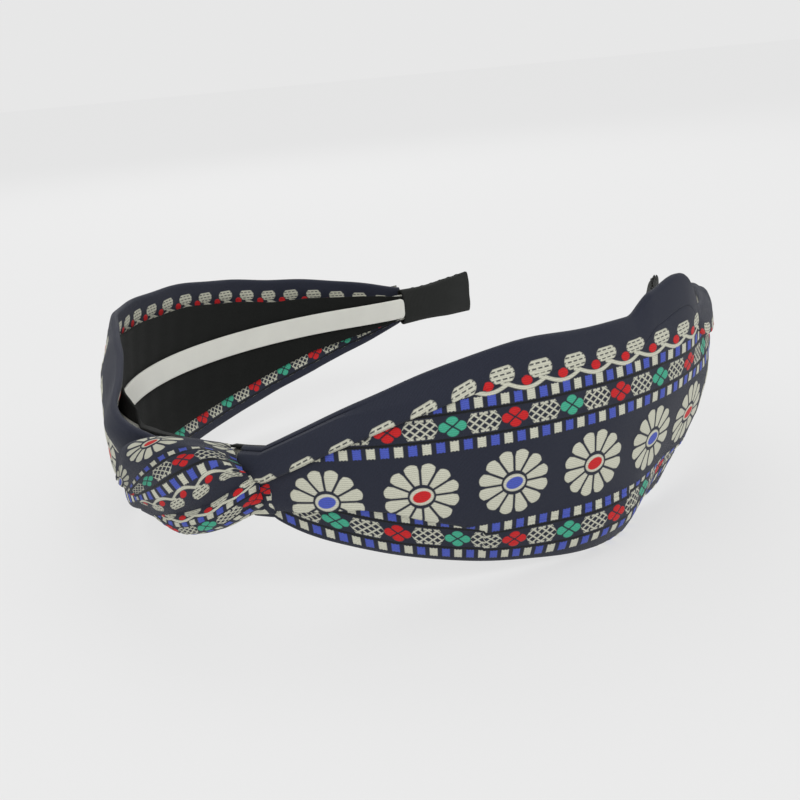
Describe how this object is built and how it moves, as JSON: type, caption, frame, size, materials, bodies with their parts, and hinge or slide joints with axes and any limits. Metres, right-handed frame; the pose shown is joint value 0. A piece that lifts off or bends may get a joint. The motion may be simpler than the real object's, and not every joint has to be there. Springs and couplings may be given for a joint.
{
  "type": "knotted headband",
  "caption": "Open springy hoop for the head, covered by wide woven-ribbon wings and tied in a knot over the crown, with a lining, a grip strip and wrapped feet.",
  "frame": {"origin": "under the middle of the band, halfway from the knot's front to the feet, on the surface that the wings stand on", "axes": "+X from the crown to the feet, +Y to the left arm, +Z along the hoop's axis"},
  "size_m": [0.1594, 0.1324, 0.0442],
  "materials": {
    "hoop": "satin moulded plastic",
    "ribbon": "navy jacquard ribbon woven with cream, blue, red and green rows",
    "lining": "black brushed cloth",
    "grip_strip": "milky soft plastic, satin",
    "foot_wrap": "black grosgrain ribbon",
    "thread": "twisted sewing thread"
  },
  "bodies": {
    "crown": {"hoop_crown": "hoop", "knot_front_wrap": "ribbon", "knot_back_loop": "ribbon", "knot_left_strand": "ribbon", "knot_right_strand": "ribbon", "knot_stitches": "thread"},
    "left_arm": {"hoop_left": "hoop", "wing_left": "ribbon", "lining_left": "lining", "grip_strip_left": "grip_strip", "foot_wrap_left": "foot_wrap", "foot_stitches_left": "thread"},
    "right_arm": {"hoop_right": "hoop", "wing_right": "ribbon", "lining_right": "lining", "grip_strip_right": "grip_strip", "foot_wrap_right": "foot_wrap", "foot_stitches_right": "thread"}
  },
  "joints": [
    {"name": "left_arm_flex", "type": "hinge", "parent": "crown", "child": "left_arm", "pos_m": [-0.06895, 0.00996, 0.0244], "axis": [0, 0, 1], "range_deg": [-4, 14], "stiffness_Nm_per_rad": 1.2},
    {"name": "right_arm_flex", "type": "hinge", "parent": "crown", "child": "right_arm", "pos_m": [-0.06895, -0.00996, 0.0244], "axis": [0, 0, -1], "range_deg": [-4, 14], "stiffness_Nm_per_rad": 1.2}
  ]
}
